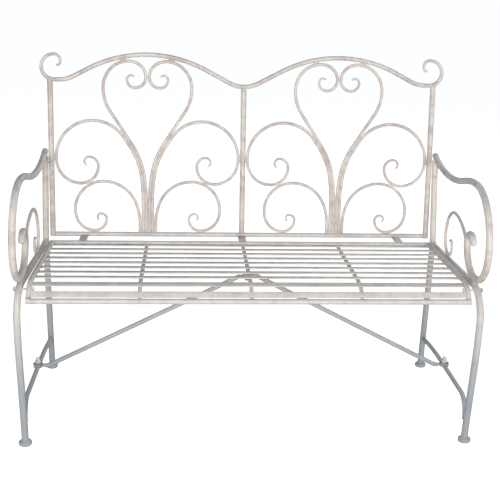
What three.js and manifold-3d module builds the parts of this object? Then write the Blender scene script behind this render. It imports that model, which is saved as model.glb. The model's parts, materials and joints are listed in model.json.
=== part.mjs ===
// Two-seat wrought iron garden bench: bolted side frames, a slatted seat and a scrollwork back.
// Millimetres, +Z up, +X to the sitter's left, the bench faces -Y.
import * as THREE from 'three';
import { mergeVertices } from 'three/addons/utils/BufferGeometryUtils.js';
import Module from 'manifold-3d';

const wasm = await Module();
wasm.setup();

// Stock sizes: radii of the round tube and rod, then the flat bar.
const TUBE_R = 8.5;
const SEAT_TUBE_R = 6.5;
const POST_R = 7.5;
const RAIL_R = 6;
const SCROLL_R = 4.2;
const BRACE_R = 6;
const CROSS_BAR_R = 5;
const SLAT = { width: 15, thick: 3 };
const BRACE_EYE = { width: 22, thick: 3.5, hole: 4.5, rodFrom: 11.5, neck: 17 };
const BOLT_R = 2.5;
const BRACE_ENDS = { low: 28, high: 18.5 };
const GAP = 0.4;

// Main positions in the bench: x is the side frame's plane, y runs from the front foot.
const SIDE_X = 545;
const SEAT_X = 521;
const POST_X = 528;
const PANEL_X = POST_X / 2;
const FOOT_HEIGHT = 12;
const REAR_FOOT_Y = 476;
const SEAT_ORIGIN = { y: 45, z: 411, tilt: 1.6 };
const SEAT_DEPTH = 352;
const BACK_ORIGIN = { y: 469, z: 406.6, rake: 5.5 };
const ARM_BOLT = { y: 486.4, z: 606 };
const SEAT_BOLT = { y: 6.3, z: 399.2 };
const STUD = { y: 230, z: 114.5 };
const BRACE_TOP = { y: 180, z: 372 };

const SIDES = { l: -1, r: 1 };
const bench = new THREE.Group();
const paint = { color: 0xd9d2c6, roughness: 0.6, metalness: 0.1 };
const zinc = { color: 0xbdb7ad, roughness: 0.45, metalness: 0.6 };

const radians = THREE.MathUtils.degToRad;

function add(parent, name, geometry, finish = paint) {
  const mesh = new THREE.Mesh(geometry, new THREE.MeshStandardMaterial(finish));
  mesh.name = name;
  parent.add(mesh);
  return mesh;
}

// The centre line of a bent rod. A bend list holds straight lengths [length] and arcs
// [radius, turn in degrees], where a left turn is positive. `place` puts the plane in space.
class BentRod extends THREE.Curve {
  constructor(start, heading, bends, place) {
    super();
    this.stations = [];
    this.place = place;
    let at = new THREE.Vector2(...start);
    let angle = radians(heading);
    this.mark(at, angle);
    for (const [size, turn] of bends) {
      const steps = turn ? Math.ceil(Math.abs(turn) / (size < 60 ? 22.5 : 15)) : 1;
      const step = turn ? radians(turn) / steps : 0;
      const chord = turn ? 2 * size * Math.sin(Math.abs(step) / 2) : size;
      for (let k = 0; k < steps; k += 1) {
        const move = new THREE.Vector2(Math.cos(angle + step / 2), Math.sin(angle + step / 2));
        at = at.clone().addScaledVector(move, chord);
        angle += step;
        this.mark(at, angle);
      }
    }
  }

  mark(at, angle) {
    const tip = this.place(at.x + Math.cos(angle), at.y + Math.sin(angle));
    const point = this.place(at.x, at.y);
    this.stations.push({ point, tangent: tip.sub(point).normalize() });
  }

  station(u) {
    return this.stations[Math.round(u * (this.stations.length - 1))];
  }

  getPointAt(u) {
    return this.station(u).point.clone();
  }

  getTangentAt(u) {
    return this.station(u).tangent.clone();
  }

  // Continues the line the other way with its own mirror image.
  mirrored(mirror) {
    const half = this.stations.slice(1).map(({ point, tangent }) => ({
      point: mirror(point),
      tangent: mirror(tangent).negate(),
    }));
    this.stations = [...half.reverse(), ...this.stations];
    return this;
  }

  end() {
    return this.stations.at(-1);
  }
}

// An eight-sided section whose flats touch the true circle of radius r.
function roundSection(r) {
  const corners = [];
  for (let k = 0; k < 8; k += 1) {
    const angle = (k + 0.5) * (Math.PI / 4);
    corners.push(new THREE.Vector2(Math.cos(angle), Math.sin(angle)).multiplyScalar(r / Math.cos(Math.PI / 8)));
  }
  return new THREE.Shape(corners);
}

function rod(path, r) {
  const steps = path.stations.length - 1;
  return new THREE.ExtrudeGeometry(roundSection(r), { steps, extrudePath: path, bevelEnabled: false });
}

function straightRod(from, to, r) {
  const path = new BentRod([0, 0], 0, [[1]], (t) => from.clone().lerp(to, t));
  return rod(path, r);
}

// A turned shape about +Z, its profile given from the axis at the bottom to the axis at the top.
function turned(profile, sides = 12) {
  const points = profile.map(([r, z]) => new THREE.Vector2(r, z));
  const geometry = new THREE.LatheGeometry(points, sides);
  return geometry.rotateX(Math.PI / 2);
}

function toSolid(geometry) {
  const bare = geometry.clone();
  bare.deleteAttribute('normal');
  bare.deleteAttribute('uv');
  const merged = mergeVertices(bare, 1e-3);
  const mesh = new wasm.Mesh({
    numProp: 3,
    vertProperties: new Float32Array(merged.attributes.position.array),
    triVerts: new Uint32Array(merged.index.array),
  });
  return new wasm.Manifold(mesh);
}

function toGeometry(solid) {
  const { vertProperties, triVerts } = solid.getMesh();
  const geometry = new THREE.BufferGeometry();
  geometry.setAttribute('position', new THREE.BufferAttribute(vertProperties, 3));
  geometry.setIndex(new THREE.BufferAttribute(triVerts, 1));
  return geometry;
}

// A bolt hole along X through a tube.
function drilled(geometry, x, { y, z }) {
  const r = BOLT_R + GAP;
  const drill = new THREE.CylinderGeometry(r, r, 4 * TUBE_R, 12).rotateZ(Math.PI / 2).translate(x, y, z);
  return toGeometry(toSolid(geometry).subtract(toSolid(drill)));
}

// A bolt along X from its tip inside the bench to a domed head outside the side frame.
function crossBolt(side, { y, z }, tipX, nut) {
  const length = SIDE_X + TUBE_R + 1 - tipX;
  const head = [[BOLT_R, length], [6.5, length], [5.5, length + 2.5], [0, length + 3.5]];
  const profile = [[0, 0], ...nut, ...head];
  const bolt = turned(profile, 6).rotateY(side * Math.PI / 2);
  return bolt.translate(side * tipX, y, z);
}

// A point of the bench's side view, as seen in a group that stands at `origin` and leans back.
function inTilted(point, origin, degrees) {
  const y = point.y - origin.y;
  const z = point.z - origin.z;
  const [cos, sin] = [Math.cos(radians(degrees)), Math.sin(radians(degrees))];
  return { y: y * cos - z * sin, z: y * sin + z * cos };
}

function frontLeg(side) {
  const bends = [[900, 4], [157], [720, -8], [73, -92], [388]];
  return new BentRod([0, FOOT_HEIGHT], 94, bends, (y, z) => new THREE.Vector3(side * SIDE_X, y, z));
}

function rearLeg(side) {
  const bends = [[356], [150, -16], [218]];
  return new BentRod([REAR_FOOT_Y, FOOT_HEIGHT], 94.9, bends, (y, z) => new THREE.Vector3(side * SIDE_X, y, z));
}

// From the back end down over the dip, forward over the crest, down the front and into the curl.
function armrest(side) {
  const bends = [[7], [540, -29.7], [50], [300, 12.5], [10], [138, 90], [83, 90], [12], [80, 75], [27, 185]];
  return new BentRod([493, 637.1], 197.2, bends, (y, z) => new THREE.Vector3(side * SIDE_X, y, z));
}

function armScroll(side) {
  const bends = [[175, -38], [75, -90], [7], [40, -90], [28, -90], [15, -90], [10, -60]];
  return new BentRod([136, 493], 38, bends, (y, z) => new THREE.Vector3(side * SIDE_X, y, z));
}

function stretcher(side) {
  const bends = [[1450, 8], [197], [46, 84], [12]];
  return new BentRod([458.6, 94], 172, bends, (y, z) => new THREE.Vector3(side * SIDE_X, y, z));
}

function foot() {
  const top = FOOT_HEIGHT - 3 * GAP;
  return turned([[0, 0], [13, 0], [15.5, 2.5], [16, 5], [16, 8.5], [14, top], [0, top]], 16);
}

function capNut() {
  const profile = [[0, 0], [3.5, 0], [3.5, 4.1], [7.5, 4.1], [7.5, 11], [6.6, 11], [5.2, 16], [2.6, 19], [0, 20]];
  return turned(profile, 6);
}

function addSideFrame(tag, side) {
  const leg = drilled(rod(frontLeg(side), TUBE_R), side * SIDE_X, SEAT_BOLT);
  const post = drilled(rod(rearLeg(side), TUBE_R), side * SIDE_X, ARM_BOLT);
  const noNut = [[BOLT_R, 0]];
  const seatNut = [[5.2, 0], [5.2, 4.5], [BOLT_R, 4.5]];
  add(bench, `front_leg_${tag}`, leg);
  add(bench, `rear_leg_${tag}`, post);
  add(bench, `armrest_${tag}`, rod(armrest(side), TUBE_R));
  add(bench, `arm_scroll_${tag}`, rod(armScroll(side), SCROLL_R));
  add(bench, `stretcher_${tag}`, rod(stretcher(side), BRACE_R));
  add(bench, `foot_front_${tag}`, foot()).position.set(side * SIDE_X, 0, 0);
  add(bench, `foot_rear_${tag}`, foot()).position.set(side * SIDE_X, REAR_FOOT_Y, 0);
  add(bench, `brace_nut_${tag}`, capNut(), zinc).position.set(side * SIDE_X, STUD.y, STUD.z);
  add(bench, `arm_bolt_${tag}`, crossBolt(side, ARM_BOLT, POST_X - POST_R + 1, noNut), zinc);
  add(bench, `seat_bolt_${tag}`, crossBolt(side, SEAT_BOLT, SEAT_X - SEAT_TUBE_R - 5.5, seatNut), zinc);
}

// The seat's side view: level from the back bar to the front, then falling over the edge.
// `depth` is how far a bar lies under the tubes' centre line.
function seatPath(x, depth, start, tail) {
  const bends = [[start], [70 - depth, 30], [50 - depth, tail[0]], [tail[1]]];
  return new BentRod([start, -depth], 180, bends, (y, z) => new THREE.Vector3(x, y, z));
}

function slatAt(seat, name, y, z, tilt) {
  const geometry = new THREE.BoxGeometry(2 * (SEAT_X - SEAT_TUBE_R - 2 * GAP), SLAT.width, SLAT.thick);
  const slat = add(seat, name, geometry);
  slat.position.set(0, y, z);
  slat.rotation.x = radians(tilt);
}

function addSlats(seat) {
  const flat = 8;
  const pitch = 44.1;
  for (let k = 0; k < flat; k += 1) slatAt(seat, `seat_slat_${k + 1}`, SEAT_DEPTH - 26 - k * pitch, 0.5, 0);
  const edges = [[9, 21.5, [[70, 21.5]]], [10, 53, [[70, 30], [50, 23]]]];
  for (const [k, tilt, bends] of edges) {
    const { point } = new BentRod([0, 0.5], 180, bends, (y, z) => new THREE.Vector3(0, y, z)).end();
    slatAt(seat, `seat_slat_${k}`, point.y, point.z, tilt);
  }
}

function addSeat() {
  const seat = new THREE.Group();
  seat.position.set(0, SEAT_ORIGIN.y, SEAT_ORIGIN.z);
  seat.rotation.x = -radians(SEAT_ORIGIN.tilt);
  bench.add(seat);
  const back = SEAT_DEPTH - SEAT_TUBE_R - GAP;
  const boltInSeat = inTilted(SEAT_BOLT, SEAT_ORIGIN, SEAT_ORIGIN.tilt);
  for (const [tag, side] of Object.entries(SIDES)) {
    const path = seatPath(side * SEAT_X, 0, back, [32, 1]);
    add(seat, `seat_side_${tag}`, drilled(rod(path, SEAT_TUBE_R), side * SEAT_X, boltInSeat));
  }
  const nose = seatPath(0, 0, back, [32, 1 + 2 * GAP + SEAT_TUBE_R]).end().point;
  const ends = SEAT_X + SEAT_TUBE_R;
  for (const [name, y, z] of [['seat_back_bar', SEAT_DEPTH, 0], ['seat_front_tube', nose.y, nose.z]]) {
    add(seat, name, straightRod(new THREE.Vector3(-ends, y, z), new THREE.Vector3(ends, y, z), SEAT_TUBE_R));
  }
  const below = CROSS_BAR_R + SLAT.thick / 2;
  for (const [tag, x] of [['l', -PANEL_X], ['c', 0], ['r', PANEL_X]]) {
    add(seat, `cross_bar_${tag}`, rod(seatPath(x, below, back, [26, 1]), CROSS_BAR_R));
  }
  addSlats(seat);
}

// Half of the top rail, from the valley at the centre post to the tip of the finial.
function topRail() {
  const bends = [[86.6, 27.5], [72], [346.5, -55], [46], [86.6, 27.5], [12], [34, 180], [17.5, 110], [9, 80]];
  const rail = new BentRod([0, 413.4], 0, bends, (u, v) => new THREE.Vector3(u, 0, v));
  return rail.mirrored(({ x, y, z }) => new THREE.Vector3(-x, y, z));
}

// The three scrolls of half a panel stand side by side on the bottom rail and curl outwards.
const SCROLLS = {
  heart: {
    row: 0,
    bends: [[86], [513.8, -7.5], [225.8, -26], [104], [116, 33.5], [75.2, 40], [68.5, 50], [49, 45], [40, 45],
      [29.4, 90], [22, 90], [12, 90], [9, 60]],
  },
  big_scroll: {
    row: 1,
    bends: [[86], [505, -7.5], [217, -26], [25], [101.6, -56.5], [101, -100], [66, -80], [48.5, -90], [25, -90],
      [13.5, -90], [11, -70]],
  },
  small_scroll: {
    row: 2,
    bends: [[25.2], [155, -21], [96.3, -69], [79, -105], [52.6, -75], [33, -90], [15, -90], [10, -90], [9, -60]],
  },
};

function addScrolls(back, panel, centre) {
  const foot = SEAT_TUBE_R + GAP;
  for (const [name, { row, bends }] of Object.entries(SCROLLS)) {
    const w = (row + 0.5) * (2 * SCROLL_R + GAP);
    for (const [tag, side] of Object.entries(SIDES)) {
      const path = new BentRod([w, foot], 90, bends, (x, v) => new THREE.Vector3(centre + side * x, 0, v));
      add(back, `${name}_${panel}${tag}`, rod(path, SCROLL_R));
    }
  }
}

function addBack() {
  const back = new THREE.Group();
  back.position.set(0, BACK_ORIGIN.y, BACK_ORIGIN.z);
  back.rotation.x = -radians(BACK_ORIGIN.rake);
  bench.add(back);
  const inner = POST_X - POST_R - GAP;
  const bottom = straightRod(new THREE.Vector3(-inner, 0, 0), new THREE.Vector3(inner, 0, 0), SEAT_TUBE_R);
  add(back, 'back_bottom_rail', bottom);
  add(back, 'back_top_rail', rod(topRail(), RAIL_R));
  const boltInBack = inTilted(ARM_BOLT, BACK_ORIGIN, BACK_ORIGIN.rake);
  for (const [tag, side] of Object.entries(SIDES)) {
    const x = side * POST_X;
    const post = straightRod(new THREE.Vector3(x, 0, -SEAT_TUBE_R), new THREE.Vector3(x, 0, 417), POST_R);
    add(back, `back_post_${tag}`, drilled(post, x, boltInBack));
    addScrolls(back, tag, side * PANEL_X);
  }
  const foot = new THREE.Vector3(0, 0, SEAT_TUBE_R + GAP);
  add(back, 'back_post_c', straightRod(foot, new THREE.Vector3(0, 0, 413.4 - RAIL_R - GAP), POST_R));
}

// Flat tabs that hold the back's bottom rail to the seat's back bar.
function addTabs() {
  const y0 = SEAT_ORIGIN.y + SEAT_DEPTH + SEAT_TUBE_R + 1;
  const y1 = BACK_ORIGIN.y - SEAT_TUBE_R - 1;
  for (const [tag, x] of [['l', -440], ['c', 0], ['r', 440]]) {
    const tab = add(bench, `back_tab_${tag}`, new THREE.BoxGeometry(21, y1 - y0, 5));
    tab.position.set(x, (y0 + y1) / 2, 403.5);
  }
}

// A brace has a flat eye over the stud, a rising round rod and a flat eye under the seat.
function brace(side, rise) {
  const run = Math.hypot(SIDE_X, STUD.y - BRACE_TOP.y);
  const bend = 25;
  const slope = Math.atan(rise / (run - BRACE_ENDS.low - BRACE_ENDS.high));
  const corner = bend * Math.tan(slope / 2);
  const length = rise / Math.sin(slope) - 2 * corner;
  const turn = THREE.MathUtils.radToDeg(slope);
  const [low, high] = [BRACE_ENDS.low, BRACE_ENDS.high].map((end) => end - corner - BRACE_EYE.rodFrom);
  const bends = [[low], [bend, turn], [length], [bend, -turn], [high]];
  const path = new BentRod([BRACE_EYE.rodFrom, 0], 0, bends, (x, z) => new THREE.Vector3(x, 0, z));
  let solid = toSolid(rod(path, BRACE_R));
  for (const [x, z] of [[0, 0], [run, rise]]) {
    const eye = new THREE.Shape();
    const inward = x === 0 ? 1 : -1;
    eye.absarc(0, 0, BRACE_EYE.width / 2, inward * Math.PI / 2, inward * 1.5 * Math.PI, false);
    eye.lineTo(inward * BRACE_EYE.neck, -inward * BRACE_EYE.width / 2);
    eye.lineTo(inward * BRACE_EYE.neck, inward * BRACE_EYE.width / 2);
    eye.holes.push(new THREE.Path().absarc(0, 0, BRACE_EYE.hole, 0, 2 * Math.PI, true));
    const plate = new THREE.ExtrudeGeometry(eye, { depth: BRACE_EYE.thick, bevelEnabled: false, curveSegments: 8 });
    solid = solid.add(toSolid(plate.translate(x, 0, z - BRACE_EYE.thick / 2)));
  }
  const geometry = toGeometry(solid).rotateZ(Math.atan2(BRACE_TOP.y - STUD.y, SIDE_X));
  return side < 0 ? geometry : geometry.rotateZ(2 * Math.atan2(STUD.y - BRACE_TOP.y, SIDE_X)).rotateZ(Math.PI);
}

function addBraces() {
  const z = STUD.z + BRACE_EYE.thick / 2;
  for (const [tag, side] of Object.entries(SIDES)) {
    const rise = BRACE_TOP.z - z + (side > 0 ? BRACE_EYE.thick + GAP : 0);
    add(bench, `brace_${tag}`, brace(side, rise)).position.set(side * SIDE_X, STUD.y, z);
  }
  const shank = [[0, -6], [6.5, -6], [6.5, -2.2], [3.6, -2.2], [3.6, 23], [0, 23]];
  add(bench, 'brace_bolt', turned(shank, 6), zinc).position.set(0, BRACE_TOP.y, BRACE_TOP.z);
}

for (const [tag, side] of Object.entries(SIDES)) addSideFrame(tag, side);
addSeat();
addBack();
addTabs();
addBraces();

// The origin is the centre of the bench's footprint, on the floor.
const size = new THREE.Box3().setFromObject(bench);
bench.position.y = -(size.min.y + size.max.y) / 2;

export default bench;
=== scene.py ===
import json
import math

import bpy
from bpy.props import FloatProperty, FloatVectorProperty, PointerProperty
from mathutils import Matrix, Vector, kdtree

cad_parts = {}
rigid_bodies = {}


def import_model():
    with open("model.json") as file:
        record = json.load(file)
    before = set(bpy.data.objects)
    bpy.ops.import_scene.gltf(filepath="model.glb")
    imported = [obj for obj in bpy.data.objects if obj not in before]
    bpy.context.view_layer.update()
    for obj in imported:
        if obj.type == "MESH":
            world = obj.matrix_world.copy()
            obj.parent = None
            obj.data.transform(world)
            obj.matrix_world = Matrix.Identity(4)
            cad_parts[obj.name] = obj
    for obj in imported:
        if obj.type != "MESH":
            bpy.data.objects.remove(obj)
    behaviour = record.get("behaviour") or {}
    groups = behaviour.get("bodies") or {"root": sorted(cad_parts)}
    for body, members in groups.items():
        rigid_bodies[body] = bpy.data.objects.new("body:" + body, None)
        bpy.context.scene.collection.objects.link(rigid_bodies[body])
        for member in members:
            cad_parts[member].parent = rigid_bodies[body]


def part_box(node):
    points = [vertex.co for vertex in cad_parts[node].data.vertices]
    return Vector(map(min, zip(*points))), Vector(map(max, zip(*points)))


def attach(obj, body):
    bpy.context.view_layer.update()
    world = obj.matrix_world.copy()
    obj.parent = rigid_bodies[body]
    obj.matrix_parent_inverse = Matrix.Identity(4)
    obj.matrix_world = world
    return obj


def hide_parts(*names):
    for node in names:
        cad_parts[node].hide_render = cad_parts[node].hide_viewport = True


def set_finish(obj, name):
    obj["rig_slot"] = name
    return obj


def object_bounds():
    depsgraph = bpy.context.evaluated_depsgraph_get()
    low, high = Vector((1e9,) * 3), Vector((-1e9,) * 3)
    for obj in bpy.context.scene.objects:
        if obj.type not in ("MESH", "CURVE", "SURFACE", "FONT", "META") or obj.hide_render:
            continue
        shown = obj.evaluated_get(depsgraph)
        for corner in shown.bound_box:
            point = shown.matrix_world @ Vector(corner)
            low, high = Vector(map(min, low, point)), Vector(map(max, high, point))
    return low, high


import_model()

bl_info = {
    "name": "Wrought Iron Garden Bench",
    "version": (1, 0, 0),
    "blender": (4, 5, 0),
    "location": "View3D > Sidebar > Bench",
    "description": "Builds a two-seat garden bench of bent iron rod on its packed frame",
    "category": "Add Mesh",
}

CAD_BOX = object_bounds()
MM = 0.001


def centre(node):
    """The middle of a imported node's box."""
    low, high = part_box(node)
    return (low + high) / 2


def half_width(node, axis):
    """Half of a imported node's box along one axis."""
    low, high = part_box(node)
    return (high[axis] - low[axis]) / 2


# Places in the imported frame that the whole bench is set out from.
SIDE_X = centre("front_leg_r").x
FOOT_Y = centre("foot_front_r").y
SEAT_BAR = centre("seat_back_bar")
BACK_RAIL = centre("back_bottom_rail")
POST_X = centre("back_post_r").x
SEAT_SIDE_X = centre("seat_side_r").x
PANEL_X = centre("cross_bar_r").x

# The seat falls towards the back and the back leans away from the sitter.
SEAT_TILT = math.radians(1.6)
BACK_RAKE = math.radians(5.5)

# The seat, in millimetres, with its rods' back ends and the bars under the slats.
SEAT_DEPTH = 352.0
SEAT_ROD_END = SEAT_DEPTH - 6.9
CROSS_BAR_DROP = 6.5

# The slats, in millimetres, and how far the two at the front lean over its edge, in degrees.
SLAT_COUNT = 10
SLAT_WIDTH = 15
SLAT_THICKNESS = 3
SLAT_LEANS = {9: 21.5, 10: 53.0}

# The back, in millimetres up it from the middle of the bottom rail; scrolls stand a pitch apart.
POST_FOOT = -6.5
RAIL_TOP = 6.2
CENTRE_POST_TOP = 409.5
SCROLL_PITCH = 8.8

# A brace, in millimetres: its eyes, its level ends, and from an eye where it is flat or round.
EYE_RADIUS = 11
EYE_THICKNESS = 3.5
EYE_RIM = 6.5
BRACE_ROD_START = 9
BRACE_FOOT_LEVEL = 28
BRACE_TOP_LEVEL = 18.5
BRACE_BEND = 25
FLAT_UNTIL = 10
ROUND_FROM = 26

# How rods are drawn, in millimetres and degrees: the usual step along them, the angles marked
# round a rounded end, and the least radius there.
ROD_STEP = 3.5
END_ANGLES = (6, 20, 38, 56, 74, 90)
THINNEST = 0.15

# The widest gap between rods that is welded, and how far its stain spreads, in millimetres.
WELD_REACH = 2.5
STAIN_REACH = 14

SIDES = {"l": -1, "r": 1}
PLACES = ("l", "c", "r")
PANELS = {"l": -PANEL_X, "r": PANEL_X}

# Centre lines in millimetres: where a rod starts, the way it heads in degrees, then its bends.
# A bend is (length,) where the rod is straight and (radius, turn) where it curves to the left.
FRONT_LEG = ((0, 12), 94, ((900, 4), (157,), (720, -8), (73, -92), (388,)))
REAR_LEG = ((476, 12), 94.9, ((356,), (150, -16), (218.6,)))
ARMREST = (
    (493, 637.1),
    197.2,
    (
        (7,), (540, -29.7), (50,), (300, 12.5), (10,), (138, 90), (83, 90), (12,), (80, 75),
        (27, 185),
    ),
)
ARM_SCROLL = (
    (136, 493),
    38,
    ((175, -38), (75, -90), (7,), (40, -90), (28, -90), (15, -90), (10, -60)),
)
STRETCHER = ((458.6, 94), 172, ((1450, 8), (197,), (46, 84), (12,)))
TOP_RAIL_HALF = (
    (0, 413.4),
    0,
    (
        (86.6, 27.5), (72,), (346.5, -55), (46,), (86.6, 27.5), (12,), (34, 180), (17.5, 110),
        (9, 80),
    ),
)

# The scrolls of half a panel stand side by side on the bottom rail, the heart innermost.
SCROLLS = {
    "heart": (
        (86,), (513.8, -7.5), (225.8, -26), (104,), (116, 33.5), (75.2, 40), (68.5, 50),
        (49, 45), (40, 45), (29.4, 90), (22, 90), (12, 90), (9, 60),
    ),
    "big_scroll": (
        (86,), (505, -7.5), (217, -26), (25,), (101.6, -56.5), (101, -100), (66, -80), (48.5, -90),
        (25, -90), (13.5, -90), (11, -70),
    ),
    "small_scroll": (
        (25.2,), (155, -21), (96.3, -69), (79, -105), (52.6, -75), (33, -90), (15, -90),
        (10, -90), (9, -60),
    ),
}

# Every rod's sampled centre line by piece name, for finding where two of them are welded.
RODS = {}


class BENCH_PG_sizes(bpy.types.PropertyGroup):
    """Sizes of the stock that the bench is made from."""

    tube: FloatProperty(
        name="Leg Tube Radius", description="Outside radius of the legs and armrests",
        default=0.0085, unit="LENGTH",
    )
    seat_tube: FloatProperty(
        name="Seat Tube Radius", description="Outside radius of the seat frame's tubes",
        default=0.0065, unit="LENGTH",
    )
    post: FloatProperty(
        name="Post Radius", description="Outside radius of the back's upright posts",
        default=0.0075, unit="LENGTH",
    )
    rail: FloatProperty(
        name="Top Rail Radius", description="Radius of the back's curved top rail",
        default=0.006, unit="LENGTH",
    )
    scroll: FloatProperty(
        name="Scroll Radius", description="Radius of the rod that the scrolls are bent from",
        default=0.0042, unit="LENGTH",
    )
    brace: FloatProperty(
        name="Brace Radius", description="Radius of the stretchers and the two long braces",
        default=0.006, unit="LENGTH",
    )
    cross_bar: FloatProperty(
        name="Cross Bar Radius", description="Radius of the three bars under the slats",
        default=0.005, unit="LENGTH",
    )
    slat_edge: FloatProperty(
        name="Slat Edge", description="How far the long edges of a slat are eased",
        default=0.0008, unit="LENGTH",
    )
    weld: FloatProperty(
        name="Weld Size", description="Size of a weld bead against the rod it joins",
        default=1.0, min=0.2, max=2.0, subtype="FACTOR",
    )


class BENCH_PG_finish(bpy.types.PropertyGroup):
    """Colours and wear of the bench's paint."""

    paint: FloatVectorProperty(
        name="Paint", description="Colour of the sound top coat",
        default=(0.80, 0.75, 0.685), subtype="COLOR", min=0.0, max=1.0,
    )
    rubbed: FloatVectorProperty(
        name="Rubbed Paint", description="Rosy colour where the top coat is rubbed thin",
        default=(0.56, 0.40, 0.39), subtype="COLOR", min=0.0, max=1.0,
    )
    primer: FloatVectorProperty(
        name="Primer", description="Colour that shows in the chips",
        default=(0.24, 0.15, 0.13), subtype="COLOR", min=0.0, max=1.0,
    )
    stain: FloatVectorProperty(
        name="Stain", description="Colour of the old stain around the welds",
        default=(0.42, 0.33, 0.28), subtype="COLOR", min=0.0, max=1.0,
    )
    # A cool grey, laid in random patches and painted as shade on up-facing and low parts.
    grey_patches_and_shade: FloatVectorProperty(
        name="Grey Patches And Shade", description="Cool grey of random patches and of painted shade on tops and low parts",
        default=(0.385, 0.44, 0.475), subtype="COLOR", min=0.0, max=1.0,
    )
    wear: FloatProperty(
        name="Wear", description="How much of the top coat is rubbed or chipped",
        default=0.5, min=0.0, max=1.0, subtype="FACTOR",
    )


class BENCH_PG_studio(bpy.types.PropertyGroup):
    """Light, floor and camera."""

    floor: FloatVectorProperty(
        name="Floor", description="Colour of the plain floor",
        default=(0.62, 0.62, 0.62), subtype="COLOR", min=0.0, max=1.0,
    )
    front_light: FloatProperty(
        name="Front Light", description="Power of the broad light in front of the bench",
        default=86.0, unit="POWER",
    )
    surround: FloatProperty(
        name="Surround", description="Strength of the even light from all round",
        default=0.55, min=0.0,
    )
    lens: FloatProperty(
        name="Lens", description="Focal length of the camera",
        default=68.404, unit="CAMERA",
    )


# Centre lines and the planes that they are bent in.


class BentLine:
    """The middle of a bent rod in its own plane."""

    def __init__(self, start, heading, bends):
        self.runs = []
        self.length = 0.0
        u, v, angle = start[0], start[1], math.radians(heading)
        for bend in bends:
            turn = math.radians(bend[1]) if len(bend) > 1 else 0.0
            length = bend[0] * abs(turn) if turn else bend[0]
            self.runs.append((self.length, length, u, v, angle, turn))
            self.length += length
            u, v = self.at(self.length)
            angle += turn

    def at(self, distance):
        """The point at a distance along the line."""
        start, length, u, v, angle, turn = next(
            (run for run in reversed(self.runs) if distance >= run[0]), self.runs[0]
        )
        done = distance - start
        if not turn:
            return u + done * math.cos(angle), v + done * math.sin(angle)
        half = turn * done / length / 2
        chord = 2 * length / abs(turn) * math.sin(abs(half))
        return u + chord * math.cos(angle + half), v + chord * math.sin(angle + half)


def side_plane(side):
    """Points of a side frame: u runs back from the front foot, v up from the floor."""
    return lambda u, v: Vector((side * SIDE_X, FOOT_Y + u * MM, v * MM))


def seat_plane(x):
    """Points of the seat's side view: u runs back from its front edge, v up from its tubes."""
    back = Vector((0, math.cos(SEAT_TILT), -math.sin(SEAT_TILT)))
    up = Vector((0, math.sin(SEAT_TILT), math.cos(SEAT_TILT)))
    origin = Vector((x, SEAT_BAR.y, SEAT_BAR.z)) - SEAT_DEPTH * MM * back
    return lambda u, v: origin + u * MM * back + v * MM * up


def back_plane(u, v):
    """Points of the leaning back: u runs across from its middle, v up from the bottom rail."""
    up = Vector((0, math.sin(BACK_RAKE), math.cos(BACK_RAKE)))
    return Vector((u * MM, BACK_RAIL.y, BACK_RAIL.z)) + v * MM * up


# Modelling, as by hand.


def deselect_all():
    if bpy.context.mode != "OBJECT":
        bpy.ops.object.mode_set(mode="OBJECT")
    bpy.ops.object.select_all(action="DESELECT")


def recalculate_normals():
    bpy.ops.object.mode_set(mode="EDIT")
    bpy.ops.mesh.select_all(action="SELECT")
    bpy.ops.mesh.remove_doubles(threshold=1e-6)
    bpy.ops.mesh.normals_make_consistent(inside=False)
    bpy.ops.object.mode_set(mode="OBJECT")


def round_off(distance, radius, rounding):
    """The rod's radius at a distance from its end, when the end is rounded over."""
    if distance >= rounding:
        return radius
    return radius - rounding + math.sqrt(max(rounding**2 - (rounding - distance) ** 2, 0.0))


def thinning(distance, taper):
    """The share of its full radius that a tapered rod has at a distance from its end."""
    near = (0.0, taper[0][1])
    for far in taper:
        if distance <= far[0]:
            span = far[0] - near[0]
            if span == 0:
                return far[1]
            return near[1] + (far[1] - near[1]) * (distance - near[0]) / span
        near = far
    return near[1]


def stations(length, roundings):
    """Distances along a rod, in millimetres, that are closer together at its ends."""
    steps = max(2, round(length / ROD_STEP))
    first, last = roundings
    even = [length * k / steps for k in range(1, steps)]
    even = [d for d in even if first < d < length - last]
    eased = [1 - math.cos(math.radians(angle)) for angle in END_ANGLES]
    start = [first * e for e in eased]
    end = [length - last * e for e in reversed(eased)]
    return [0.0, *start, *even, *end, length]


def swept_rod(name, points, radii):
    """A round rod drawn as a curve, its thickness set point by point, then made a mesh."""
    deselect_all()
    bpy.ops.curve.primitive_bezier_curve_add(location=(0, 0, 0))
    rod = bpy.context.object
    rod.name = name
    rod.data.splines.clear()
    spline = rod.data.splines.new("POLY")
    spline.points.add(len(points) - 1)
    for mark, point, radius in zip(spline.points, points, radii):
        mark.co = (*point, 1.0)
        mark.radius = radius
    rod.data.dimensions = "3D"
    rod.data.bevel_depth = 1.0
    rod.data.bevel_resolution = 6
    rod.data.use_fill_caps = True
    bpy.ops.object.convert(target="MESH")
    recalculate_normals()
    bpy.ops.object.shade_smooth_by_angle(angle=math.radians(50))
    return bpy.context.object


def bent_rod(
    name, line, place, radius, roundings=(0.8, 0.8), taper=((0, 1.0),), mirrored=False
):
    """A rod along a bent line, tapered to its far end; a mirrored one has two far ends."""
    line = BentLine(*line)
    r = radius / MM
    marks = stations(line.length, roundings)
    points = [place(*line.at(d)) for d in marks]
    radii = []
    for d in marks:
        full = r * thinning(line.length - d, taper)
        start = full if mirrored else round_off(d, full, min(roundings[0], full))
        end = round_off(line.length - d, full, min(roundings[1], full))
        radii.append(max(min(start, end), THINNEST) * MM)
    if mirrored:
        crowded = 2
        keep = [k for k, d in enumerate(marks) if d > crowded]
        across = [Vector((-points[k].x, points[k].y, points[k].z)) for k in reversed(keep)]
        points = [*across, points[0], *(points[k] for k in keep)]
        radii = [*(radii[k] for k in reversed(keep)), radii[0], *(radii[k] for k in keep)]
    RODS[name] = (points, max(radii))
    return swept_rod(name, points, radii)


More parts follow.
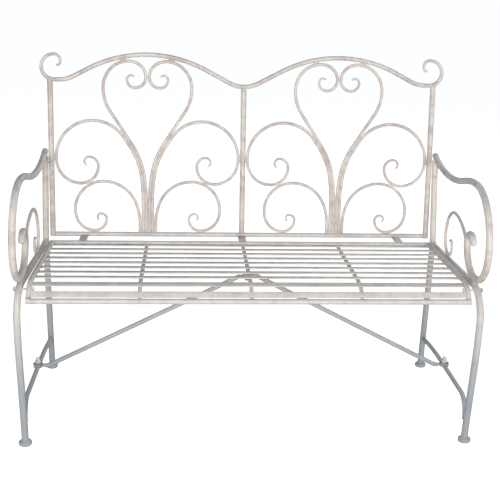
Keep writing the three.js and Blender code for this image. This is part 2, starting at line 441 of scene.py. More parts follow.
def straight_rod(name, start, end, radius, roundings=(0.8, 0.8)):
    """A straight rod between two points of the bench."""
    length = (end - start).length / MM
    r = radius / MM
    marks = stations(length, roundings)
    points = [start.lerp(end, d / length) for d in marks]
    first, last = roundings
    radii = [min(round_off(d, r, first), round_off(length - d, r, last)) * MM for d in marks]
    RODS[name] = (points, radius)
    return swept_rod(name, points, radii)


def turned(name, rings, sides):
    """A turned shape on +Z, drawn up ring by ring: each ring is its radius and its height."""
    deselect_all()
    radius, height = rings[0]
    bpy.ops.mesh.primitive_circle_add(
        vertices=sides, radius=radius, fill_type="NGON", location=(0, 0, 0)
    )
    piece = bpy.context.object
    piece.name = name
    bpy.ops.object.mode_set(mode="EDIT")
    bpy.ops.mesh.select_all(action="SELECT")
    bpy.ops.transform.translate(value=(0, 0, height))
    for next_radius, next_height in rings[1:]:
        bpy.ops.mesh.extrude_region_move(
            TRANSFORM_OT_translate={"value": (0, 0, next_height - height)}
        )
        scale = next_radius / radius
        bpy.ops.transform.resize(value=(scale, scale, 1), center_override=(0, 0, next_height))
        radius, height = next_radius, next_height
    bpy.ops.object.mode_set(mode="OBJECT")
    recalculate_normals()
    bpy.ops.object.shade_smooth_by_angle(angle=math.radians(35))
    return piece


def scaled(rings):
    """Rings given in millimetres, in metres."""
    return [(radius * MM, height * MM) for radius, height in rings]


def eased_box(size, edge):
    """A box about the origin, with its edges eased."""
    deselect_all()
    bpy.ops.mesh.primitive_cube_add(size=1, location=(0, 0, 0))
    piece = bpy.context.object
    bpy.ops.object.mode_set(mode="EDIT")
    bpy.ops.mesh.select_all(action="SELECT")
    bpy.ops.transform.resize(value=size, center_override=(0, 0, 0))
    bpy.ops.mesh.bevel(offset=edge, segments=3, affect="EDGES")
    bpy.ops.object.mode_set(mode="OBJECT")
    recalculate_normals()
    bpy.ops.object.shade_smooth_by_angle(angle=math.radians(40))
    return piece


def copy_of(pattern, name, matrix):
    """A copy with its own mesh, put in its place inside the mesh."""
    piece = pattern.copy()
    piece.data = pattern.data.copy()
    piece.name = name
    piece.data.transform(matrix)
    if matrix.determinant() < 0:
        piece.data.flip_normals()
    bpy.context.collection.objects.link(piece)
    return piece


def discard(*patterns):
    for pattern in patterns:
        mesh = pattern.data
        bpy.data.objects.remove(pattern)
        bpy.data.meshes.remove(mesh)


def joined(name, pieces):
    """Several meshes as one piece."""
    deselect_all()
    for piece in pieces:
        piece.select_set(True)
    bpy.context.view_layer.objects.active = pieces[0]
    bpy.ops.object.join()
    pieces[0].name = name
    return pieces[0]


def place_on_bench(piece, nodes, finish="paint"):
    """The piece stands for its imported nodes, rides on the bench and takes its finish."""
    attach(piece, "root")
    if nodes:
        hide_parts(*nodes)
    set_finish(piece, "painted_iron" if finish == "paint" else "painted_hardware")
    piece.data.materials.clear()
    piece.data.materials.append(bench_finish(finish))
    return piece


# Shader sums and the two finishes.


class Level:
    """A shader socket that can be used in sums."""

    def __init__(self, recipe, socket):
        self.recipe = recipe
        self.socket = socket

    def sum(self, operation, *values):
        return self.recipe.node("ShaderNodeMath", {"operation": operation}, dict(enumerate(values)))

    def __add__(self, other):
        return self.sum("ADD", self, other)

    def __mul__(self, other):
        return self.sum("MULTIPLY", self, other)

    def __sub__(self, other):
        return self.sum("SUBTRACT", self, other)

    def __rsub__(self, other):
        return self.sum("SUBTRACT", other, self)

    __radd__ = __add__
    __rmul__ = __mul__

    def over(self, low, high):
        """0 below low and 1 above high, with a soft step between."""
        return self.recipe.node(
            "ShaderNodeMapRange", {"interpolation_type": "SMOOTHSTEP"},
            {"Value": self, "From Min": low, "From Max": high},
        )


class Recipe:
    """The nodes of one material."""

    def __init__(self, name):
        self.material = bpy.data.materials.new(name)
        self.material.use_nodes = True
        self.tree = self.material.node_tree
        self.shader = self.tree.nodes["Principled BSDF"]
        self.place = self.node("ShaderNodeTexCoord", {}, {}, "Object")

    def node(self, kind, settings, inputs, output=0):
        """Any node: its settings first, then the values or links of its sockets."""
        node = self.tree.nodes.new(kind)
        for name, value in settings.items():
            setattr(node, name, value)
        for name, value in inputs.items():
            self.feed(node.inputs[name], value)
        return Level(self, node.outputs[output])

    def feed(self, socket, value):
        if isinstance(value, Level):
            self.tree.links.new(value.socket, socket)
        else:
            socket.default_value = value

    def noise(self, scale, detail=3.0, roughness=0.5, stretch=(1, 1, 1)):
        """Cloudy noise with `scale` clouds to the metre."""
        place = self.node("ShaderNodeMapping", {}, {"Vector": self.place, "Scale": stretch})
        sockets = {"Vector": place, "Scale": scale, "Detail": detail, "Roughness": roughness}
        return self.node("ShaderNodeTexNoise", {}, sockets)

    def blend(self, amount, first, second):
        """One colour laid over another."""
        colours = {"Factor": amount, 6: colour_of(first), 7: colour_of(second)}
        return self.node("ShaderNodeMix", {"data_type": "RGBA"}, colours, 2)


def colour_of(value):
    return value if isinstance(value, Level) else (*value, 1.0)


def bench_finish(finish):
    name = "Worn White Paint" if finish == "paint" else "Thin Paint On Zinc"
    made = bpy.data.materials.get(name)
    if made:
        return made
    return worn_paint(name) if finish == "paint" else thin_paint(name)


def worn_paint(name):
    """Brushed antique white over a rosy coat, rubbed, chipped and stained at the welds, with
    painted shade greying its up-facing and lower parts.
    """
    looks = bpy.context.scene.bench_finish
    recipe = Recipe(name)
    clouds = recipe.noise(16, 3)
    rubs = recipe.noise(48, 4, 0.55)
    brush = recipe.noise(420, 3, 0.6)
    pits = recipe.noise(900, 2)
    facing = recipe.node("ShaderNodeNewGeometry", {}, {}, "Normal")
    up = recipe.node("ShaderNodeSeparateXYZ", {}, {"Vector": facing}, "Z")
    height = recipe.node("ShaderNodeSeparateXYZ", {}, {"Vector": recipe.place}, "Z")
    # The first mask lets rubbed paint show pinker higher up; the second greys the paint towards the
    # floor, as painted shade where the light falls off low down.
    rosy, low_shade = height.over(0.3, 0.5), 1 - height.over(0.1, 0.42)
    stain = recipe.node("ShaderNodeAttribute", {"attribute_name": "weld_stain"}, {}, "Fac")

    more_rubs, more_chips = 0.2 * looks.wear, 0.12 * looks.wear
    rubbed = (rubs * 0.6 + clouds * 0.4).over(0.52 - more_rubs, 0.72 - more_rubs)
    chipped = (rubs * 0.35 + brush * 0.65).over(0.68 - more_chips, 0.71 - more_chips)
    # Painted shade: up-facing surfaces turn a darker, cooler grey, in patches.
    grey_patches_and_shade = up.over(0.45, 1.0) * (clouds * 0.6 + 0.45)
    stained = stain * (0.2 + rubs * 0.6)

    # Random grey patches, and the painted shade towards the floor, both in the cool grey.
    grey_patches_and_low_shade = clouds.over(0.5, 0.8) * 0.2 + low_shade * 0.9
    colour = recipe.blend(grey_patches_and_low_shade, looks.paint, looks.grey_patches_and_shade)
    colour = recipe.blend(rubbed * (rosy * 0.36 + 0.2), colour, looks.rubbed)
    # The painted shade on up-facing surfaces, in the cool grey.
    colour = recipe.blend(grey_patches_and_shade * 0.62, colour, looks.grey_patches_and_shade)
    colour = recipe.blend(stained * 0.5, colour, looks.stain)
    colour = recipe.blend(chipped * 0.35, colour, looks.primer)
    grain = brush * 0.45 + rubs * 0.5 + pits * 0.12 - chipped * 0.5
    relief = {"Strength": 0.55, "Distance": 0.0006, "Height": grain}
    recipe.feed(recipe.shader.inputs["Base Color"], colour)
    recipe.feed(recipe.shader.inputs["Roughness"], 0.42 + rubs * 0.2 + chipped * 0.15)
    recipe.feed(recipe.shader.inputs["Normal"], recipe.node("ShaderNodeBump", {}, relief))
    return recipe.material


def thin_paint(name):
    """Zinc nuts and bolts under one thin coat that has cracked off their corners."""
    looks = bpy.context.scene.bench_finish
    recipe = Recipe(name)
    rubs = recipe.noise(240, 4, 0.6)
    grain = recipe.noise(1200, 2)
    more_zinc = 0.14 * looks.wear
    zinc = (0.36, 0.35, 0.33)
    bare = (rubs * 0.8 + grain * 0.2).over(0.60 - more_zinc, 0.66 - more_zinc)
    colour = recipe.blend(bare, looks.paint, zinc)
    colour = recipe.blend(grain.over(0.6, 0.75) * 0.5, colour, looks.stain)
    relief = {"Strength": 0.5, "Distance": 0.0004, "Height": rubs + grain * 0.4}
    recipe.feed(recipe.shader.inputs["Base Color"], colour)
    recipe.feed(recipe.shader.inputs["Metallic"], bare * 0.8)
    recipe.feed(recipe.shader.inputs["Roughness"], 0.5 - bare * 0.14 + grain * 0.1)
    recipe.feed(recipe.shader.inputs["Normal"], recipe.node("ShaderNodeBump", {}, relief))
    return recipe.material


# One operator for each group of pieces.


class BENCH_OT_side_frames(bpy.types.Operator):
    """Bend the legs, armrests and stretchers of both side frames"""

    bl_idname = "bench.side_frames"
    bl_label = "Side Frames"

    def execute(self, context):
        sizes = context.scene.bench_sizes
        even, curl = ((0, 1.0),), ((0, 0.97), (45, 1.0))
        parts = {
            "front_leg": (FRONT_LEG, sizes.tube, (0.8, 0.8), even),
            "rear_leg": (REAR_LEG, sizes.tube, (0.8, 1.2), even),
            "armrest": (ARMREST, sizes.tube, (1.5, 6.0), curl),
            "stretcher": (STRETCHER, sizes.brace, (0.8, 0.8), even),
        }
        for tag, side in SIDES.items():
            place = side_plane(side)
            for part, (line, *make) in parts.items():
                name = f"{part}_{tag}"
                place_on_bench(bent_rod(f"bench_{name}", line, place, *make), [name])
        return {"FINISHED"}


class BENCH_OT_arm_scrolls(bpy.types.Operator):
    """Bend the small scroll under each armrest"""

    bl_idname = "bench.arm_scrolls"
    bl_label = "Arm Scrolls"

    def execute(self, context):
        radius = context.scene.bench_sizes.scroll
        taper = ((0, 0.7), (20, 0.85), (60, 1.0))
        for tag, side in SIDES.items():
            name = f"arm_scroll_{tag}"
            place = side_plane(side)
            rod = bent_rod(f"bench_{name}", ARM_SCROLL, place, radius, (1.0, 3.0), taper)
            place_on_bench(rod, [name])
        return {"FINISHED"}


class BENCH_OT_feet(bpy.types.Operator):
    """Turn the four domed foot caps"""

    bl_idname = "bench.feet"
    bl_label = "Foot Caps"

    def execute(self, context):
        wide = half_width("foot_front_r", 0)
        rings = [(11.5, 0), (13, 0.4), (14.8, 1.6), (15.7, 3.2), (16, 5.2), (16, 8.2), (15.4, 9.6)]
        rings += [(14, 10.5), (11.6, 10.8), (10.9, 11.2), (10.2, 12.4), (9.3, 13.0)]
        pattern = turned("foot pattern", [(min(r * MM, wide), z * MM) for r, z in rings], 40)
        for end in ("front", "rear"):
            for tag in SIDES:
                name = f"foot_{end}_{tag}"
                spot = centre(name)
                foot = copy_of(pattern, f"bench_{name}", Matrix.Translation((spot.x, spot.y, 0)))
                place_on_bench(foot, [name])
        discard(pattern)
        return {"FINISHED"}


class BENCH_OT_seat_frame(bpy.types.Operator):
    """Bend the tubes round the seat and the three bars that carry the slats"""

    bl_idname = "bench.seat_frame"
    bl_label = "Seat Frame"

    def execute(self, context):
        sizes = context.scene.bench_sizes
        end = SEAT_ROD_END
        line = ((end, 0), 180, ((end,), (70, 30), (50, 32), (1,)))
        for tag, side in SIDES.items():
            name = f"seat_side_{tag}"
            place = seat_plane(side * SEAT_SIDE_X)
            place_on_bench(bent_rod(f"bench_{name}", line, place, sizes.seat_tube), [name])
        line = ((end, -CROSS_BAR_DROP), 180, ((end,), (63.5, 30), (43.5, 26), (1,)))
        for tag, x in zip(PLACES, (-PANEL_X, 0, PANEL_X)):
            name = f"cross_bar_{tag}"
            rod = bent_rod(f"bench_{name}", line, seat_plane(x), sizes.cross_bar)
            place_on_bench(rod, [name])
        for name in ("seat_back_bar", "seat_front_tube"):
            spot = centre(name)
            reach = Vector((half_width(name, 0), 0, 0))
            ends = (spot - reach, spot + reach)
            rod = straight_rod(f"bench_{name}", *ends, sizes.seat_tube, (1.5, 1.5))
            place_on_bench(rod, [name])
        return {"FINISHED"}


class BENCH_OT_slats(bpy.types.Operator):
    """Cut the ten flat slats and lay them over the seat frame"""

    bl_idname = "bench.slats"
    bl_label = "Slats"

    def execute(self, context):
        size = (2 * half_width("seat_slat_1", 0), SLAT_WIDTH * MM, SLAT_THICKNESS * MM)
        pattern = eased_box(size, context.scene.bench_sizes.slat_edge)
        for k in range(1, SLAT_COUNT + 1):
            name = f"seat_slat_{k}"
            lean = SLAT_LEANS.get(k, 0.0) - math.degrees(SEAT_TILT)
            place = Matrix.Translation(centre(name)) @ Matrix.Rotation(math.radians(lean), 4, "X")
            place_on_bench(copy_of(pattern, f"bench_{name}", place), [name])
        discard(pattern)
        return {"FINISHED"}


class BENCH_OT_back_frame(bpy.types.Operator):
    """Bend the top rail with its finials and stand the posts on the bottom rail"""

    bl_idname = "bench.back_frame"
    bl_label = "Back Frame"

    def execute(self, context):
        sizes = context.scene.bench_sizes
        curl = ((0, 0.5), (30, 0.62), (110, 0.85), (190, 1.0))
        make = (sizes.rail, (0.0, 3.0), curl)
        rail = bent_rod("bench_back_top_rail", TOP_RAIL_HALF, back_plane, *make, mirrored=True)
        place_on_bench(rail, ["back_top_rail"])
        reach = half_width("back_bottom_rail", 0) / MM
        ends = (back_plane(-reach, 0), back_plane(reach, 0))
        rail = straight_rod("bench_back_bottom_rail", *ends, sizes.seat_tube)
        place_on_bench(rail, ["back_bottom_rail"])
        outer = (POST_FOOT, self.rail_height(POST_X / MM))
        middle = (RAIL_TOP, CENTRE_POST_TOP)
        for tag, x, (low, high) in (
            ("l", -POST_X / MM, outer), ("r", POST_X / MM, outer), ("c", 0, middle),
        ):
            name = f"back_post_{tag}"
            ends = (back_plane(x, low), back_plane(x, high))
            place_on_bench(straight_rod(f"bench_{name}", *ends, sizes.post), [name])
        return {"FINISHED"}

    def rail_height(self, x):
        """How high the middle of the top rail runs over a post, below the finial's loop."""
        line = BentLine(*TOP_RAIL_HALF)
        points = [line.at(d) for d in range(round(line.length))]
        beside = 1.5
        return min(v for u, v in points if abs(u - x) < beside)


class BENCH_OT_back_scrolls(bpy.types.Operator):
    """Bend the hearts and the large and small scrolls of both back panels"""

    bl_idname = "bench.back_scrolls"
    bl_label = "Back Scrolls"

    def execute(self, context):
        radius = context.scene.bench_sizes.scroll
        taper = ((0, 0.62), (25, 0.78), (90, 1.0))
        for row, (part, bends) in enumerate(SCROLLS.items()):
            line = (((row + 0.5) * SCROLL_PITCH, RAIL_TOP), 90, bends)
            for panel, middle in PANELS.items():
                for tag, side in SIDES.items():
                    name = f"{part}_{panel}{tag}"
                    place = self.panel_plane(middle / MM, side)
                    rod = bent_rod(f"bench_{name}", line, place, radius, (0.4, 2.6), taper)
                    place_on_bench(rod, [name])
        return {"FINISHED"}

    def panel_plane(self, middle, side):
        """Points of half a panel: u runs outwards from the panel's middle."""
        return lambda u, v: back_plane(middle + side * u, v)


class BENCH_OT_tabs(bpy.types.Operator):
    """Cut the flat tabs that tie the back to the seat"""

    bl_idname = "bench.tabs"
    bl_label = "Back Tabs"

    def execute(self, context):
        low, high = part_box("back_tab_c")
        size = high - low
        overlap = 1.8 * MM
        pattern = eased_box((size.x, size.y + overlap, size.z), 1.0 * MM)
        for tag in PLACES:
            name = f"back_tab_{tag}"
            tab = copy_of(pattern, f"bench_{name}", Matrix.Translation(centre(name)))
            place_on_bench(tab, [name])
        discard(pattern)
        return {"FINISHED"}


class BENCH_OT_braces(bpy.types.Operator):
    """Forge the two long braces, with a flat drilled eye at each end"""

    bl_idname = "bench.braces"
    bl_label = "Braces"

    def execute(self, context):
        radius = context.scene.bench_sizes.brace
        eye = self.eye_pattern()
        for tag, side in SIDES.items():
            name = f"brace_{tag}"
            foot, top = self.eye_centres(side)
            rod = self.brace_rod(name, foot, top, radius)
            eyes = [copy_of(eye, "eye", Matrix.Translation(spot)) for spot in (foot, top)]
            place_on_bench(joined(f"bench_{name}", [rod, *eyes]), [name])
        discard(eye)
        return {"FINISHED"}

    def eye_centres(self, side):
        """The eye on the side frame's stud and the eye on the bolt under the seat."""
        stud = centre("brace_nut_r")
        bolt = centre("brace_bolt")
        half = EYE_THICKNESS / 2 * MM
        foot_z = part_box("brace_r")[0].z + half
        top_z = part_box("brace_r" if side > 0 else "brace_l")[1].z - half
        return Vector((side * SIDE_X, stud.y, foot_z)), Vector((0, bolt.y, top_z))

    def eye_pattern(self):
        """A disc, inset on both faces and bridged through to make the hole."""
        deselect_all()
        bpy.ops.mesh.primitive_cylinder_add(
            vertices=40, radius=EYE_RADIUS * MM, depth=EYE_THICKNESS * MM, location=(0, 0, 0)
        )
        eye = bpy.context.object
        for face in eye.data.polygons:
            face.select = abs(face.normal.z) > 0.9
        bpy.ops.object.mode_set(mode="EDIT")
        bpy.ops.mesh.select_mode(type="FACE")
        bpy.ops.mesh.inset(thickness=EYE_RIM * MM, depth=0, use_individual=True)
        bpy.ops.mesh.bridge_edge_loops()
        bpy.ops.object.mode_set(mode="OBJECT")
        recalculate_normals()
        bevel = eye.modifiers.new("Eased Edges", "BEVEL")
        bevel.width = 0.0006
        bevel.segments = 2
        bpy.ops.object.modifier_apply(modifier=bevel.name)
        bpy.ops.object.shade_smooth_by_angle(angle=math.radians(35))
        return eye

    def brace_rod(self, name, foot, top, radius):
        """A round rod, level at both ends, beaten flat where it meets its eyes."""
        run = Vector((top.x - foot.x, top.y - foot.y)).length / MM
        rise = (top.z - foot.z) / MM
        slope = math.atan(rise / (run - BRACE_FOOT_LEVEL - BRACE_TOP_LEVEL))
        corner = BRACE_BEND * math.tan(slope / 2)
        turn = math.degrees(slope)
        bends = (
            (BRACE_FOOT_LEVEL - corner - BRACE_ROD_START,),
            (BRACE_BEND, turn),
            (rise / math.sin(slope) - 2 * corner,),
            (BRACE_BEND, -turn),
            (BRACE_TOP_LEVEL - corner - BRACE_ROD_START,),
        )
        across = Vector((top.x - foot.x, top.y - foot.y, 0)).normalized()

        def place(u, v):
            return Vector((foot.x, foot.y, foot.z + v * MM)) + across * (u * MM)

        line = ((BRACE_ROD_START, 0), 0, bends)
        rod = bent_rod(f"bench_{name}", line, place, radius, (0.4, 0.4))
        sideways = Vector((-across.y, across.x, 0))
        for vertex in rod.data.vertices:
            self.beat_flat(vertex, foot, across, sideways, run, rise)
        return rod

    def beat_flat(self, vertex, foot, across, sideways, run, rise):
        """Thins and widens the rod towards the nearer eye."""
        thin, widen = 0.29, 0.55
        from_foot = (vertex.co - foot).dot(across) / MM
        level, distance = (0, from_foot) if from_foot < run / 2 else (rise, run - from_foot)
        if distance > ROUND_FROM:
            return
        t = max(0.0, min(1.0, (distance - FLAT_UNTIL) / (ROUND_FROM - FLAT_UNTIL)))
        round_share = t * t * (3 - 2 * t)
        middle = (vertex.co.z - foot.z) / MM - level
        offset = (vertex.co - foot).dot(sideways)
        vertex.co.z += (thin + (1 - thin) * round_share - 1) * middle * MM
        vertex.co += sideways * offset * (1 - round_share) * widen


class BENCH_OT_fixings(bpy.types.Operator):
    """Make the dome nuts on the studs and the bolts of the arms, seat and braces"""

    bl_idname = "bench.fixings"
    bl_label = "Nuts And Bolts"

    def execute(self, context):
        self.dome_nuts()
        self.cross_bolts()
        self.brace_bolt()
        return {"FINISHED"}

    def dome_nuts(self):
        """Each is a stud, a washer, a hexagon and a cap, drawn up from the frame outwards."""
        stud = [(3.4, 0), (3.4, 4.2)]
        washer = [(8.1, 3.9), (8.4, 4.2), (8.4, 4.9), (8.1, 5.2)]
        hexagon = [(6.9, 5.2), (7.5, 5.7), (7.5, 10.4), (6.7, 11.1)]
        cap = [(6.0, 11.0), (5.9, 13.4), (5.5, 15.4), (4.6, 17.3), (3.2, 18.9), (1.6, 19.8)]
        cap.append((0.4, 20.0))
        shapes = (
            ("stud", stud, 24), ("washer", washer, 32), ("hexagon", hexagon, 6), ("cap", cap, 32),
        )
        parts = [turned(name, scaled(rings), sides) for name, rings, sides in shapes]
        pattern = joined("nut pattern", parts)
        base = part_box("brace_nut_r")[0].z
        for tag in SIDES:
            name = f"brace_nut_{tag}"
            spot = centre(name)
            place = Matrix.Translation((spot.x, spot.y, base))
            place_on_bench(copy_of(pattern, f"bench_{name}", place), [name], "hardware")
        discard(pattern)

    def cross_bolts(self):
        """Bolts along X: a low dome head outside, and on the seat's bolts a nut inside."""
        for part in ("arm_bolt", "seat_bolt"):
            for tag, side in SIDES.items():
                name = f"{part}_{tag}"
                spot = centre(name)
                reach = half_width(name, 0) / MM
                tip = 2 * reach
                shank = [(2.1, 0), (2.5, 0.6), (2.5, tip - 4.0)]
                head = [(6.5, tip - 3.9), (6.5, tip - 3.0), (5.9, tip - 1.7)]
                head += [(4.4, tip - 0.6), (2.2, tip - 0.1), (0.5, tip)]
                nut = [(4.6, 0.2), (5.2, 0.6), (5.2, 4.2), (4.6, 4.6)]
                bolt = [turned("shank", scaled(shank), 20), turned("head", scaled(head), 32)]
                if part == "seat_bolt":
                    bolt.append(turned("nut", scaled(nut), 6))
                pattern = joined("bolt pattern", bolt)
                turn = Matrix.Rotation(side * math.pi / 2, 4, "Y")
                inner = side * (abs(spot.x) - reach * MM)
                place = Matrix.Translation((inner, spot.y, spot.z)) @ turn
                place_on_bench(copy_of(pattern, f"bench_{name}", place), [name], "hardware")
                discard(pattern)

    def brace_bolt(self):
        """The upright bolt that holds the braces where they cross."""
        low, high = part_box("brace_bolt")
        spot = centre("brace_bolt")
        tall = (high.z - low.z) / MM
        head = turned("head", scaled([(5.9, 0), (6.5, 0.6), (6.5, 3.2), (5.9, 3.8)]), 6)
        shank = turned("shank", scaled([(3.5, 3.6), (3.5, tall - 0.5), (3.1, tall)]), 24)
        pattern = joined("bolt pattern", [head, shank])
        place = Matrix.Translation((spot.x, spot.y, low.z))
        place_on_bench(copy_of(pattern, "bench_brace_bolt", place), ["brace_bolt"], "hardware")
        discard(pattern)


class BENCH_OT_welds(bpy.types.Operator):
    """Run a weld bead wherever two rods touch, and stain the paint around it"""

    bl_idname = "bench.welds"
    bl_label = "Welds"

    def execute(self, context):
        size = Matrix.Scale(context.scene.bench_sizes.weld, 4)
        pattern = self.bead_pattern()
        groups = {
            "back_welds": self.back_pairs(),
            "seat_welds": self.seat_pairs(),
            "side_welds": self.side_pairs(),
        }
        spots = []
        for group, pairs in groups.items():
            joints = [joint for joint in (self.joint(*pair) for pair in pairs) if joint]
            if not joints:
                raise RuntimeError(f"no rods touch in {group}")
            beads = [copy_of(pattern, "bead", matrix @ size) for _, matrix in joints]
            place_on_bench(joined(f"bench_{group}", beads), [])
            spots += [spot for spot, _ in joints]
        discard(pattern)
        self.stain_paint(spots)
        return {"FINISHED"}

    def bead_pattern(self):
        """A ball of radius 1, roughened and smoothed into a lump of weld."""
        deselect_all()
        bpy.ops.mesh.primitive_uv_sphere_add(
            segments=16, ring_count=10, radius=1.0, location=(0, 0, 0)
        )
        bead = bpy.context.object
        bpy.ops.object.mode_set(mode="EDIT")
        bpy.ops.mesh.select_all(action="SELECT")
        bpy.ops.transform.vertex_random(offset=0.12, uniform=0.4, normal=0.6, seed=4)
        bpy.ops.mesh.vertices_smooth(factor=0.4, repeat=1)
        bpy.ops.object.mode_set(mode="OBJECT")
        recalculate_normals()
        bpy.ops.object.shade_smooth()
        return bead

    def back_pairs(self):
        """Rods of the back that are welded to each other."""
        pairs = []
        for panel in PANELS:
            pairs.append([f"heart_{panel}{tag}" for tag in SIDES])
            for tag in SIDES:
                heart, big, small = (f"{part}_{panel}{tag}" for part in SCROLLS)
                post = "back_post_c" if tag != panel else f"back_post_{panel}"
                pairs += [(heart, "back_top_rail"), (big, post), (big, small), (heart, big)]
                pairs += [(scroll, "back_bottom_rail") for scroll in (heart, big, small)]
        for tag in SIDES:
            post = f"back_post_{tag}"
            pairs += [(post, "back_top_rail"), ("back_bottom_rail", post)]
        return pairs + [("back_post_c", rail) for rail in ("back_top_rail", "back_bottom_rail")]

    def seat_pairs(self):
        """Tubes and bars of the seat that are welded to each other."""
        rods = [f"seat_side_{tag}" for tag in SIDES] + [f"cross_bar_{tag}" for tag in PLACES]
        return [(rod, end) for rod in rods for end in ("seat_back_bar", "seat_front_tube")]

    def side_pairs(self):
        """Rods of each side frame that are welded to each other."""
        parts = (
            ("arm_scroll", "armrest"), ("arm_scroll", "front_leg"), ("stretcher", "front_leg"),
            ("stretcher", "rear_leg"), ("armrest", "rear_leg"), ("front_leg", "rear_leg"),
            ("armrest", "front_leg"),
        )
        return [(f"{one}_{tag}", f"{other}_{tag}") for tag in SIDES for one, other in parts]

    def joint(self, first, second):
        """Where two rods come nearest, and a matrix that lays a bead along the thinner one."""
        points_a, radius_a = RODS[f"bench_{first}"]
        points_b, radius_b = RODS[f"bench_{second}"]
        k, m = nearest_samples(points_a, points_b)
        a, b = nearest_on(points_a, k, points_b, m)
        distance = (a - b).length
        if distance > radius_a + radius_b + WELD_REACH * MM:
            print("no weld", first, second, round(distance / MM, 1))
            return None
        rods = (radius_a, points_a, k), (radius_b, points_b, m)
        radius, points, index = min(rods, key=lambda rod: rod[0])
        along = direction_at(points, index)
        across = (b - a).normalized() if distance > 1e-5 else Vector((0, 1, 0))
        matrix = self.bead_matrix(along, across, radius)
        matrix.translation = a.lerp(b, radius_a / (radius_a + radius_b))
        return matrix.translation.copy(), matrix

    def bead_matrix(self, along, across, radius):
        """A collar where the rods meet end on, and otherwise a seam drawn out along the rod."""
        third = along.cross(across)
        if abs(along.dot(across)) > 0.6 or third.length < 1e-3:
            sizes = (radius * 0.55, radius * 1.22, radius * 1.22)
            third = along.orthogonal()
        else:
            sizes = (radius * 1.9, radius * 0.75, radius * 0.72)
        across = third.cross(along)
        matrix = Matrix.Identity(4)
        for column, (axis, reach) in enumerate(zip((along, across, third), sizes)):
            for row, part in enumerate(axis.normalized()):
                matrix[row][column] = part * reach
        return matrix

    def stain_paint(self, spots):
        """Writes how near each vertex of the painted pieces is to a weld."""
        tree = tree_of(spots)
        for piece in list(bpy.data.objects):
            painted = piece.type == "MESH" and piece.get("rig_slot") == "painted_iron"
            if not painted or not piece.name.startswith("bench_"):
                continue
            nearest = [tree.find(vertex.co)[2] for vertex in piece.data.vertices]
            near = [math.exp(-((distance / (STAIN_REACH * MM)) ** 2)) for distance in nearest]
            stain = piece.data.attributes.new("weld_stain", "FLOAT", "POINT")
            stain.data.foreach_set("value", near)


def tree_of(points):
    """The points, ready for finding the nearest one."""
    tree = kdtree.KDTree(len(points))
    for k, point in enumerate(points):
        tree.insert(point, k)
    tree.balance()
    return tree


def nearest_samples(points_a, points_b):
    """The numbers of the two samples that are nearest to each other."""
    tree = tree_of(points_b)
    found = [(tree.find(point), k) for k, point in enumerate(points_a)]
    (_, m, _), k = min(found, key=lambda hit: (hit[0][2], hit[1]))
    return k, m


def nearest_on(points_a, k, points_b, m):
    """The nearest points of two sampled lines, close to their samples k and m."""
    best = (points_a[k], points_b[m])
    for a in between_samples(points_a, k):
        for b in between_samples(points_b, m):
            if (a - b).length < (best[0] - best[1]).length:
                best = (a, b)
    return best


def between_samples(points, k):
    """Points along the two stretches of a sampled line that meet at sample k."""
    for i in range(max(k - 1, 0), min(k + 1, len(points) - 1)):
        for share in (0, 0.25, 0.5, 0.75, 1):
            yield points[i].lerp(points[i + 1], share)


def direction_at(points, index):
    """Which way a sampled line runs at one of its samples."""
    low, high = max(index - 1, 0), min(index + 1, len(points) - 1)
    return (points[high] - points[low]).normalized()


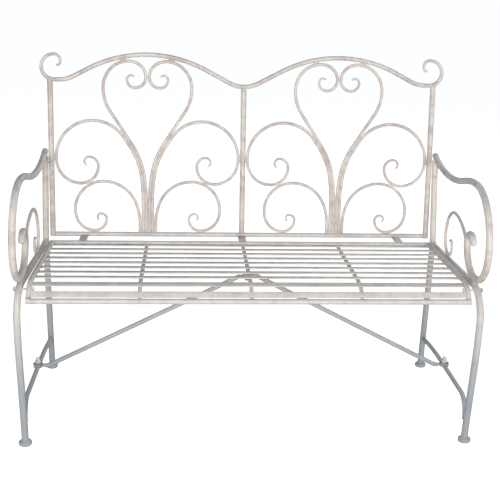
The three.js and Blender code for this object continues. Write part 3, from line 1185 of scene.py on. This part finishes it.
class BENCH_OT_stage(bpy.types.Operator):
    """Lay the floor, set the soft studio light and place the camera"""

    bl_idname = "bench.stage"
    bl_label = "Stage"

    def execute(self, context):
        studio = context.scene.bench_studio
        self.floor(studio)
        self.surround(context, studio)
        self.lights(studio)
        self.camera(context, studio)
        return {"FINISHED"}

    def floor(self, studio):
        deselect_all()
        bpy.ops.mesh.primitive_circle_add(
            vertices=96, radius=90, fill_type="NGON", location=(0, 0, 0)
        )
        floor = bpy.context.object
        floor.name = "studio_floor"
        material = bpy.data.materials.new("Plain Floor")
        material.use_nodes = True
        shader = material.node_tree.nodes["Principled BSDF"]
        shader.inputs["Base Color"].default_value = (*studio.floor, 1)
        shader.inputs["Roughness"].default_value = 0.9
        shader.inputs["Specular IOR Level"].default_value = 0.1
        path = material.node_tree.nodes.new("ShaderNodeLightPath")
        material.node_tree.links.new(path.outputs["Is Camera Ray"], shader.inputs["Emission Color"])
        shader.inputs["Emission Strength"].default_value = 0.88
        floor.data.materials.append(material)

    def surround(self, context, studio):
        """White to the eye, and dimmer overhead than round about for what it lights."""
        world = bpy.data.worlds.new("Studio Surround")
        context.scene.world = world
        world.use_nodes = True
        nodes, links = world.node_tree.nodes, world.node_tree.links
        nodes.clear()
        coordinates = nodes.new("ShaderNodeTexCoord")
        split = nodes.new("ShaderNodeSeparateXYZ")
        ramp = nodes.new("ShaderNodeValToRGB")
        path = nodes.new("ShaderNodeLightPath")
        lit = nodes.new("ShaderNodeBackground")
        seen = nodes.new("ShaderNodeBackground")
        mix = nodes.new("ShaderNodeMixShader")
        out = nodes.new("ShaderNodeOutputWorld")
        ramp.color_ramp.elements[0].position = 0.02
        ramp.color_ramp.elements[0].color = (1, 0.99, 0.97, 1)
        ramp.color_ramp.elements[1].position = 0.55
        ramp.color_ramp.elements[1].color = (0.19, 0.22, 0.25, 1)
        lit.inputs["Strength"].default_value = studio.surround
        seen.inputs["Color"].default_value = (1, 1, 1, 1)
        links.new(coordinates.outputs["Generated"], split.inputs["Vector"])
        links.new(split.outputs["Z"], ramp.inputs["Fac"])
        links.new(ramp.outputs["Color"], lit.inputs["Color"])
        links.new(path.outputs["Is Camera Ray"], mix.inputs["Fac"])
        links.new(lit.outputs["Background"], mix.inputs[1])
        links.new(seen.outputs["Background"], mix.inputs[2])
        links.new(mix.outputs["Shader"], out.inputs["Surface"])

    def lights(self, studio):
        """Round lights turned to the bench: where each stands, its size and its share of power."""
        aim = Vector((0, 0, 0.45))
        for name, spot, size, share in (
            ("front_light", (-0.9, -3.4, 1.5), 2.6, 1.0),
            ("side_light", (2.6, -2.0, 1.2), 1.4, 0.3),
            ("rear_light", (1.6, 3.4, 2.6), 2.2, 0.55),
        ):
            light = bpy.data.lights.new(name, "AREA")
            light.shape = "DISK"
            light.size = size
            light.energy = studio.front_light * share
            lamp = bpy.data.objects.new(name, light)
            bpy.context.collection.objects.link(lamp)
            lamp.location = spot
            lamp.rotation_euler = (aim - Vector(spot)).to_track_quat("-Z", "Y").to_euler()

    def camera(self, context, studio):
        eye = bpy.data.cameras.new("camera")
        eye.lens = studio.lens
        eye.sensor_width = 36
        camera = bpy.data.objects.new("camera", eye)
        context.collection.objects.link(camera)
        camera.location = (-0.15, CAD_BOX[0].y - 2.0646, 1.1193)
        camera.rotation_euler = [math.radians(angle) for angle in (73.7528, -1.3334, -3.4728)]
        context.scene.camera = camera
        context.scene.view_settings.view_transform = "Standard"


STEPS = (
    BENCH_OT_side_frames,
    BENCH_OT_arm_scrolls,
    BENCH_OT_feet,
    BENCH_OT_seat_frame,
    BENCH_OT_slats,
    BENCH_OT_back_frame,
    BENCH_OT_back_scrolls,
    BENCH_OT_tabs,
    BENCH_OT_braces,
    BENCH_OT_fixings,
    BENCH_OT_welds,
    BENCH_OT_stage,
)


class BENCH_PT_panel(bpy.types.Panel):
    """Buttons and sizes of the garden bench"""

    bl_idname = "BENCH_PT_panel"
    bl_label = "Garden Bench"
    bl_space_type = "VIEW_3D"
    bl_region_type = "UI"
    bl_category = "Bench"

    def draw(self, context):
        layout = self.layout
        for group in SETTINGS:
            settings = getattr(context.scene, group)
            box = layout.box()
            for name in settings.__annotations__:
                box.prop(settings, name)
        for step in STEPS:
            layout.operator(step.bl_idname)


SETTINGS = {
    "bench_sizes": BENCH_PG_sizes,
    "bench_finish": BENCH_PG_finish,
    "bench_studio": BENCH_PG_studio,
}


def register():
    for part in (*SETTINGS.values(), *STEPS, BENCH_PT_panel):
        bpy.utils.register_class(part)
    for name, group in SETTINGS.items():
        setattr(bpy.types.Scene, name, PointerProperty(type=group))


def unregister():
    for name in SETTINGS:
        delattr(bpy.types.Scene, name)
    for part in reversed((*SETTINGS.values(), *STEPS, BENCH_PT_panel)):
        bpy.utils.unregister_class(part)


def main():
    register()
    bpy.ops.bench.side_frames()
    bpy.ops.bench.arm_scrolls()
    bpy.ops.bench.feet()
    bpy.ops.bench.seat_frame()
    bpy.ops.bench.slats()
    bpy.ops.bench.back_frame()
    bpy.ops.bench.back_scrolls()
    bpy.ops.bench.tabs()
    bpy.ops.bench.braces()
    bpy.ops.bench.fixings()
    bpy.ops.bench.welds()
    bpy.ops.bench.stage()


if __name__ == "__main__":
    main()
